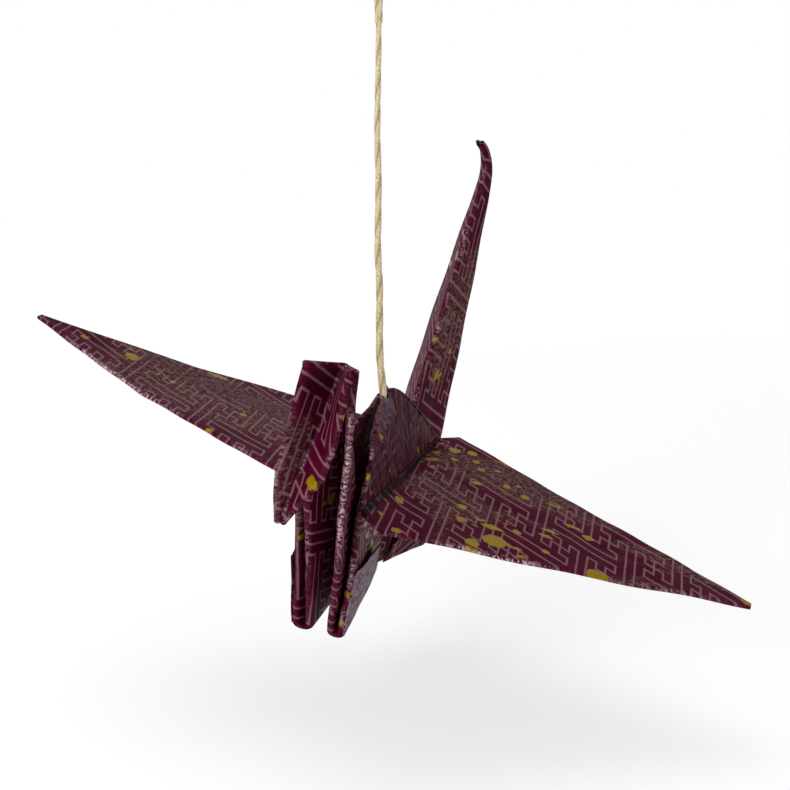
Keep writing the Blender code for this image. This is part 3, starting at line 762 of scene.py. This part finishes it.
# 1 on the fret's lines: the place less the fret's middle, in steps across and along, plus a wobble
def fretLines(tree, place):
    axes = add(tree, "SeparateXYZ", {0: place})
    wobble = calc(tree, "MULTIPLY_ADD", noise(tree, place, 0.5, 2.0), 0.10, -0.05)
    inverse = np.linalg.inv(np.array([fret["across"], fret["along"]]).T)
    coordinates = []
    for row, shift in zip(inverse, inverse @ np.array(fret["middle"])):
        first = calc(tree, "MULTIPLY_ADD", axes[0], float(row[0]), wobble)
        whole = calc(tree, "MULTIPLY_ADD", axes[1], float(row[1]), first)
        coordinates.append(calc(tree, "SUBTRACT", whole, float(shift)))
    half, soft = fret["lineHalfWidth"], fret["softness"]
    lines = ramp(tree, fretDistance(tree, *coordinates), half + soft, half - soft)
    ink = ramp(tree, noise(tree, place, 1.6, 4.0, 0.7), 0.30, 0.44)  # where the line's ink took
    return times(tree, lines, ink)


# 1 on the gold: blots of random cells, blots at given places, drops in some regions, and leaf strokes,
# which are the same on stretched and turned cells, less the bare areas
def goldPrint(tree, place, bare):
    jitter = add(tree, "TexNoise", {"Vector": place, "Scale": 0.9})["Color"]
    shifted = add(tree, "VectorMath", {0: jitter, 1: (1.3, 1.3, 0.0), 2: place}, operation="MULTIPLY_ADD")[0]
    blots = scattered(tree, shifted, 0.125, 0, 0.75, 0.15, 0.012)
    nearest = 9.0
    for blotX, blotY, radius in washi["blots"]:
        middle = (blotX + 0.65, blotY + 0.65, 0.0)  # half the jitter's reach
        away = add(tree, "VectorMath", {0: shifted, 1: middle}, operation="DISTANCE")["Value"]
        nearest = calc(tree, "MINIMUM", nearest, calc(tree, "SUBTRACT", away, radius))
    blots = larger(tree, blots, ramp(tree, nearest, 0.06, -0.06))
    drops = scattered(tree, shifted, 0.42, 1, 0.80, 0.26, 0.03)
    drops = times(tree, drops, ramp(tree, noise(tree, place, 0.09, 1.0), 0.50, 0.56))
    turned = {"Rotation": (0.0, 0.0, math.radians(28.0)), "Scale": (0.30, 1.0, 1.0), "Vector": shifted}
    leaves = scattered(tree, add(tree, "Mapping", turned)["Vector"], 0.62, 2, 0.55, 0.34, 0.04)
    leaves = times(tree, leaves, ramp(tree, noise(tree, place, 0.045, 1.0), 0.56, 0.60))
    leaves = calc(tree, "SUBTRACT", leaves, bare, clamp=True)
    return larger(tree, larger(tree, blots, drops), leaves)


# The printed side: layers of colour laid one over another by their shares. From below: mottled maroon,
# beige tint, lavender clouds, dark hump, its ripples, the fret, beige specks, painted shade along the
# wing folds, gold, rubbed edges with a painted highlight.
def washiPaper():
    material, tree, shader = newMaterial("washi_paper")
    sheet = add(tree, "UVMap", {}, uv_map="sheet")["UV"]
    side = crane["sheetSide"] * 1000
    place = add(tree, "Mapping", {"Location": (-side / 2, -side / 2, 0.0), "Scale": (side, side, 1.0),
                                  "Vector": sheet})["Vector"]  # in millimetres from the sheet's middle
    ragged = noise(tree, place, 0.25, 4.0, 0.6)
    patched, clouded, rippled, foldShaded, rubbingAndHighlight = (
        spots(tree, place, ragged, washi[name]) for name in ("patches", "clouds", "ripples", "paintedFoldShades", "rubsAndHighlights"))
    lines = times(tree, fretLines(tree, place), calc(tree, "SUBTRACT", 1.0, times(tree, rippled, 0.8)))
    region = larger(tree, ramp(tree, noise(tree, place, 0.060, 2.0, 0.55), 0.60, 0.68), patched)
    specks = times(tree, region, ramp(tree, noise(tree, place, 1.5, 6.0, 0.75), 0.50, 0.56))
    # the ripples run outward from the hump's point
    drawn = add(tree, "Mapping", {"Scale": (0.30, 1.0, 1.0), "Vector": place})["Vector"]
    swirl = times(tree, noise(tree, drawn, 0.16, 1.5), 30.0)
    ripple = ramp(tree, calc(tree, "PINGPONG", swirl, 0.5), 0.33, 0.44)
    ripple = times(tree, times(tree, ripple, rippled), 0.60)
    gold = goldPrint(tree, place, larger(tree, clouded, rippled))
    # pale rubbing along the folded edges: worn paper, and partly a painted highlight
    wear = add(tree, "Attribute", {}, attribute_name="wear")["Fac"]
    wornAndHighlit = larger(tree, ramp(tree, noise(tree, place, 0.11, 1.0), 0.50, 0.64, 0.06, 0.5), rubbingAndHighlight)
    # no rubbing where shade is painted along the wing folds
    wornAndHighlit = calc(tree, "SUBTRACT", wornAndHighlit, foldShaded, clamp=True)
    grain = ramp(tree, noise(tree, place, 2.0, 5.0, 0.7), 0.46, 0.60)
    rubbedAndHighlit = times(tree, times(tree, wear, wornAndHighlit), grain)
    flecks = ramp(tree, noise(tree, place, 1.1, 6.0, 0.7), 0.42, 0.56, 0.0, 0.95)
    mottle = ramp(tree, noise(tree, place, 0.35, 4.0, 0.6), 0.35, 0.65)
    colour = blendColour(tree, mottle, washi["groundDark"], washi["ground"])
    # the dark fold layer is painted shade along the wings' fold lines
    for share, name in ((times(tree, region, 0.06), "beige"), (times(tree, clouded, flecks), "lavender"),
                        (times(tree, rippled, 0.55), "shade"), (ripple, "line"),
                        (times(tree, lines, 0.85), "line"), (times(tree, specks, 0.8), "beige"),
                        (times(tree, foldShaded, 0.85), "paintedFoldShade"), (gold, "gold"),
                        (times(tree, rubbedAndHighlit, 0.8), "rubAndHighlight")):
        colour = blendColour(tree, share, colour, washi[name])
    rough = calc(tree, "MULTIPLY_ADD", noise(tree, place, 1.8, 3.0), 0.22, 0.36)
    shine = larger(tree, times(tree, lines, 0.05), times(tree, rubbedAndHighlit, 0.35))
    fibres = noise(tree, place, 1.1, 7.0, 0.7)
    height = calc(tree, "MULTIPLY_ADD", larger(tree, lines, gold), 0.35, fibres)
    height = calc(tree, "MULTIPLY_ADD", specks, 0.2, height)
    feed(tree, shader, {
        "Base Color": colour, "Metallic": times(tree, gold, 0.35),
        "Roughness": calc(tree, "MULTIPLY_ADD", gold, -0.12, rough),
        "Specular IOR Level": calc(tree, "ADD", shine, 0.012), "Normal": bumped(tree, height, 0.5, 0.00006)})
    return material


# the sheet's unprinted back: pale, fibrous and matt, with the print showing through a little
def paperCore():
    material, tree, shader = newMaterial("paper_core")
    place = add(tree, "TexCoord", {})["Object"]
    long = add(tree, "Mapping", {"Scale": (260.0, 900.0, 900.0), "Vector": place})["Vector"]
    fibres = noise(tree, long, 1.0, 5.0, 0.65)
    show = ramp(tree, noise(tree, place, 180.0, 2.0), 0.42, 0.62, 0.0, 0.45)
    colour = blendColour(tree, show, washi["core"], rgb(150, 96, 112))
    colour = blendColour(tree, ramp(tree, fibres, 0.4, 0.7, 0.0, 0.25), colour, rgb(236, 228, 222))
    feed(tree, shader, {"Base Color": colour, "Roughness": 0.85, "Normal": bumped(tree, fibres, 0.4, 0.00005)})
    return material


# khaki and gold threads: noise stretched along each strand, and painted shade in the groove between them
def cordThread():
    material, tree, shader = newMaterial("cord_thread")
    axes = add(tree, "SeparateXYZ", {0: add(tree, "UVMap", {}, uv_map="lay")["UV"]})
    stretched = add(tree, "CombineXYZ", {0: times(tree, axes[0], 26.0), 1: times(tree, axes[1], 420.0)})[0]
    fibres = noise(tree, stretched, 1.0, 4.0, 0.7)
    slow = noise(tree, stretched, 0.22, 2.0)
    colour = blendColour(tree, ramp(tree, fibres, 0.34, 0.66), rgb(150, 132, 88), rgb(232, 218, 178))
    colour = blendColour(tree, ramp(tree, slow, 0.52, 0.70, 0.0, 0.7), colour, rgb(206, 178, 110))
    # painted shade in the groove between the strands
    grooveShade = add(tree, "Attribute", {}, attribute_name="grooveShade")["Fac"]
    colour = blendColour(tree, times(tree, grooveShade, 0.75), colour, rgb(96, 76, 38))
    feed(tree, shader, {"Base Color": colour, "Metallic": ramp(tree, slow, 0.5, 0.7, 0.05, 0.5),
                        "Roughness": 0.42, "Sheen Weight": 0.25, "Normal": bumped(tree, fibres, 0.7, 0.00008)})
    return material


print("making the paper's print")
paper = finished(paperMesh, "folded_crane", crane["layer"])
paper.data.materials.clear()
paper.data.materials.append(washiPaper())
paper.data.materials.append(paperCore())
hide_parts("folded_paper")
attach(paper, "root")

cord = dict(
    diameter=0.0010, knotDiameter=0.0019, knotDepth=0.0047, loopWidth=0.0060, seatGap=0.0003,
    waves=((0.0, 0.0), (-0.00042, 0.0), (-0.00045, 0.0001), (-0.00035, 0.0), (-0.0005, -0.0001),
           (-0.0004, 0.0), (-0.0003, 0.0), (-0.0004, 0.0), (-0.0003, 0.0001), (-0.0001, 0.0), (0.0, 0.0)),
    loopShape=((0.062, 0.14), (0.28, 0.36), (0.46, 0.62), (0.42, 0.82), (0.22, 0.96)),
    twist=0.0092,  # the length of one turn of its two strands
    swell=1.14, taper=0.80,  # its thickness at the hump and at the loop, in shares of the diameter
    grooveRadius=0.80, lobePower=0.8, grooveShadePower=2.2, layLength=0.150,  # the strands' outline, the painted shade in their groove, and the map
    pathStep=0.00015, knotTube=0.62, knotFlatness=0.9,
)


# a Catmull-Rom curve through the route's points, read at even steps
def smoothLine(route, step):
    route = np.array(route)
    padded = np.vstack([2 * route[0] - route[1], route, 2 * route[-1] - route[-2]])
    t = np.linspace(0.0, 1.0, 20, endpoint=False)[None, :, None]
    before, start, end, after = (padded[k:len(padded) - 3 + k][:, None] for k in range(4))
    fine = 0.5 * (2 * start + (end - before) * t + (2 * before - 5 * start + 4 * end - after) * t ** 2
                  + (3 * start - before - 3 * end + after) * t ** 3)
    fine = np.vstack([fine.reshape(-1, 3), route[-1]])
    lengths = np.concatenate([[0.0], np.cumsum(np.linalg.norm(np.diff(fine, axis=0), axis=1))])
    even = np.linspace(0.0, lengths[-1], max(2, int(round(lengths[-1] / step)) + 1))
    return np.stack([np.interp(even, lengths, fine[:, axis]) for axis in range(3)], axis=1)


# A twisted tube: the radius is half the diameter times the outline, which is the groove's radius plus the
# rest by the cosine of the angle. The angle turns with the length along the path over the twist.
def carried(path, around, strands, diameter, twist, closed=False, name="cord"):
    tangent = np.gradient(path, axis=0)
    tangent /= np.linalg.norm(tangent, axis=1, keepdims=True)
    if closed:
        tangent[0] = tangent[-1] = unit(path[1] - path[-2])
    reference = np.broadcast_to(point(0, 1, 0), tangent.shape)
    first = np.cross(tangent, reference)
    first /= np.linalg.norm(first, axis=1, keepdims=True)
    second = np.cross(tangent, first)
    lengths = np.concatenate([[0.0], np.cumsum(np.linalg.norm(np.diff(path, axis=0), axis=1))])
    turns = lengths / twist
    if closed:
        turns = turns * round(turns[-1]) / turns[-1]
    angles = np.linspace(0, 2 * np.pi, around + 1)[None, :]
    phase = angles - 2 * np.pi * turns[:, None]
    lobe = np.abs(np.cos(phase * strands / 2))
    outline = cord["grooveRadius"] + (1 - cord["grooveRadius"]) * lobe ** cord["lobePower"]
    radius = np.reshape(diameter, (-1, 1)) / 2 * outline
    grid = path[:, None] + radius[..., None] * (np.cos(angles)[..., None] * first[:, None]
                                                + np.sin(angles)[..., None] * second[:, None])
    # how dark the painted shade is in the groove between the strands
    grooveShade = (1 - lobe) ** cord["grooveShadePower"]
    layAlong = np.broadcast_to(lengths[:, None] / cord["layLength"], phase.shape)
    lay = np.stack([phase / (2 * np.pi), layAlong], axis=-1)
    rows, columns = grid.shape[:2]
    index = np.arange(rows * (columns - 1)).reshape(rows, columns - 1)
    following = np.roll(index, -1, axis=1)
    faces = np.stack([index[:-1], following[:-1], following[1:], index[1:]], axis=-1).reshape(-1, 4)
    places = grid[:, :-1].reshape(-1, 3)
    faceLay = np.stack([lay[:-1, :-1], lay[:-1, 1:], lay[1:, 1:], lay[1:, :-1]], axis=2).reshape(-1, 2)
    ends = [] if closed else [index[0][::-1].tolist(), index[-1].tolist()]
    if closed:
        last = (rows - 1) * (columns - 1)  # the last row's points are the first's
        faces[faces >= last] -= last
        places = places[:last]
        grooveShade = grooveShade[:-1]
    mesh = bpy.data.meshes.new(name)
    mesh.from_pydata(places.tolist(), [], faces.tolist() + ends)
    mesh.update()
    uv = mesh.uv_layers.new(name="lay")
    caps = np.zeros((sum(len(end) for end in ends), 2))
    uv.data.foreach_set("uv", np.concatenate([faceLay, caps]).astype(np.float32).ravel())
    depth = mesh.attributes.new("grooveShade", "FLOAT", "POINT")
    depth.data.foreach_set("value", grooveShade[:, :columns - 1].astype(np.float32).ravel())
    mesh.polygons.foreach_set("use_smooth", np.ones(len(mesh.polygons), dtype=bool))
    return placed(name, mesh)


print("twisting the cord")
cordMaterial = cordThread()


# the place so far below the hump's point, square to the crane's back
def underApex(depth):
    return point(0, 0, apexLevel) - attitude @ point(0, 0, depth)


inside = underApex(cord["knotDepth"] - cord["knotDiameter"] / 2 - cord["seatGap"])
cordTop = apexLevel + hang["cordHeight"] - cord["seatGap"]
heights = np.linspace(apexLevel, cordTop, len(cord["waves"]))
route = [point(x, y, z) for (x, y), z in zip(cord["waves"], heights)]
route = [inside, mix(inside, route[0], 0.6)] + route
cordPath = smoothLine(route, cord["pathStep"])
cordPath = np.vstack([cordPath, point(0, 0, apexLevel + hang["cordHeight"] + cord["seatGap"])])
cordWidths = np.interp(cordPath[:, 2], (apexLevel, apexLevel + 0.004, cordTop), (1.0, 0.94, 0.0))
cordWidths = cord["diameter"] * (cord["taper"] + (cord["swell"] - cord["taper"]) * cordWidths)
cordPiece = carried(cordPath, 40, 2, cordWidths, cord["twist"], name="twisted_cord")

# the loop: one strand that goes round and comes back to the cord's end
loopFoot = apexLevel + hang["cordHeight"]
loopSide = [point(hang["strandDiameter"] / 2 * 0.55, 0, loopFoot - cord["seatGap"] * 3)]
loopSide += [point(x * cord["loopWidth"], 0, loopFoot + z * hang["loopLength"]) for x, z in cord["loopShape"]]
otherSide = [place * (-1, 1, 1) for place in loopSide[::-1]]
loopTop = point(0, 0, loopFoot + hang["loopLength"])
loopPath = smoothLine(loopSide + [loopTop] + otherSide, cord["pathStep"])
loopPiece = carried(loopPath, 32, 2, hang["strandDiameter"], cord["twist"] * 0.7, name="cord_loop")

# the stopper knot: a trefoil of the cord's strand, pulled tight inside the hump
around = np.linspace(0, 2 * np.pi, 181)
knotRadius = cord["knotDiameter"] / 2
knotTube = knotRadius * cord["knotTube"]
trefoil = np.stack([np.sin(around) + 2 * np.sin(2 * around), np.cos(around) - 2 * np.cos(2 * around),
                    -np.sin(3 * around)], axis=1) * (knotRadius - knotTube / 2) / 3.0
knotPath = underApex(cord["knotDepth"]) + trefoil * (1.0, 1.0, cord["knotFlatness"])
knotPiece = carried(knotPath, 20, 2, knotTube, cord["twist"] * 0.5, closed=True, name="cord_knot")

for piece, node in ((cordPiece, "hanging_cord"), (loopPiece, "hanging_loop"), (knotPiece, "stopper_knot")):
    piece.data.materials.append(cordMaterial)
    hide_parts(node)
    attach(piece, "root")

print("setting the stage")
stage = dict(floorDrop=0.016, floorSize=8.0, floorColour=(0.92, 0.92, 0.92, 1.0), worldStrength=0.58,
             fadeStart=0.20, fadeEnd=0.50, fadeBase=0.38, glow=1.30, white=(1.0, 1.0, 1.0, 1.0))
view = dict(place=(0.0519, -0.1905, 0.1007), right=(0.946, 0.2966, 0.1308), up=(-0.2177, 0.2824, 0.9343),
            forward=(-0.2401, 0.9123, -0.3317), focal=1471.6, frameWidth=790, sensorWidth=36.0)

scene = bpy.context.scene
scene.view_settings.view_transform = "Standard"

camera = placed("camera", bpy.data.cameras.new("camera"))
camera.data.sensor_width = view["sensorWidth"]
camera.data.lens = view["sensorWidth"] * view["focal"] / view["frameWidth"]
camera.data.clip_start = 0.01
axes = np.array([attitude @ np.array(view["right"]), attitude @ np.array(view["up"]),
                 -attitude @ np.array(view["forward"])]).T
camera.rotation_mode = "QUATERNION"
camera.rotation_quaternion = Matrix(axes.tolist()).to_quaternion().normalized()
camera.location = Vector(hangUp(np.array(view["place"])))
scene.camera = camera

floorHeight = float(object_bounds()[0][2]) - stage["floorDrop"]
floorReach = stage["floorSize"] / 2
floorMesh = bpy.data.meshes.new("floor")
floorCorners = [(x * floorReach, y * floorReach, floorHeight) for x, y in ((-1, -1), (1, -1), (1, 1), (-1, 1))]
floorMesh.from_pydata(floorCorners, [], [(0, 1, 2, 3)])
floor = placed("floor", floorMesh)
floorMaterial, floorTree, floorShader = newMaterial("floor")
feed(floorTree, floorShader, {"Base Color": stage["floorColour"], "Roughness": 0.9, "Specular IOR Level": 0.0})
# beyond the crane's shadow the floor passes into the white of the room
floorPlace = add(floorTree, "TexCoord", {})["Object"]
away = add(floorTree, "VectorMath", {0: floorPlace}, operation="LENGTH")["Value"]
faded, glow = (ramp(floorTree, away, stage["fadeStart"], stage["fadeEnd"], stage[name])
               for name in ("fadeBase", "glow"))
white = add(floorTree, "Emission", {"Color": stage["white"], "Strength": glow})[0]
mixed = add(floorTree, "MixShader", {0: faded, 1: floorShader.outputs[0], 2: white})[0]
feed(floorTree, floorTree.nodes["Material Output"], {"Surface": mixed})
floorMesh.materials.append(floorMaterial)

world = bpy.data.worlds.new("studio")
scene.world = world
world.use_nodes = True
worldTree = world.node_tree
background = worldTree.nodes["Background"]
feed(worldTree, background, {"Color": stage["white"], "Strength": stage["worldStrength"]})
# what the camera and the shiny parts see is plain white, whatever light the room gives
shown = add(worldTree, "Background", {"Color": stage["white"], "Strength": 1.0})[0]
rays = add(worldTree, "LightPath", {})
seen = larger(worldTree, rays["Is Camera Ray"],
              larger(worldTree, rays["Is Glossy Ray"], rays["Is Transmission Ray"]))
chosen = add(worldTree, "MixShader", {0: seen, 1: background.outputs[0], 2: shown})[0]
feed(worldTree, worldTree.nodes["World Output"], {"Surface": chosen})


# a round lamp that faces its target
def softbox(name, place, target, size, power):
    light = placed(name, bpy.data.lights.new(name, "AREA"))
    light.data.shape = "DISK"
    light.data.size = size
    light.data.energy = power
    light.location = place
    light.rotation_mode = "QUATERNION"
    light.rotation_quaternion = (Vector(target) - Vector(place)).to_track_quat("-Z", "Y")


lightTarget = (0.0, 0.0, -0.08)
softbox("key", (-0.20, 0.10, 0.60), lightTarget, 0.45, 1.2)
softbox("fill", (-0.20, -0.62, 0.16), lightTarget, 0.40, 2.6)
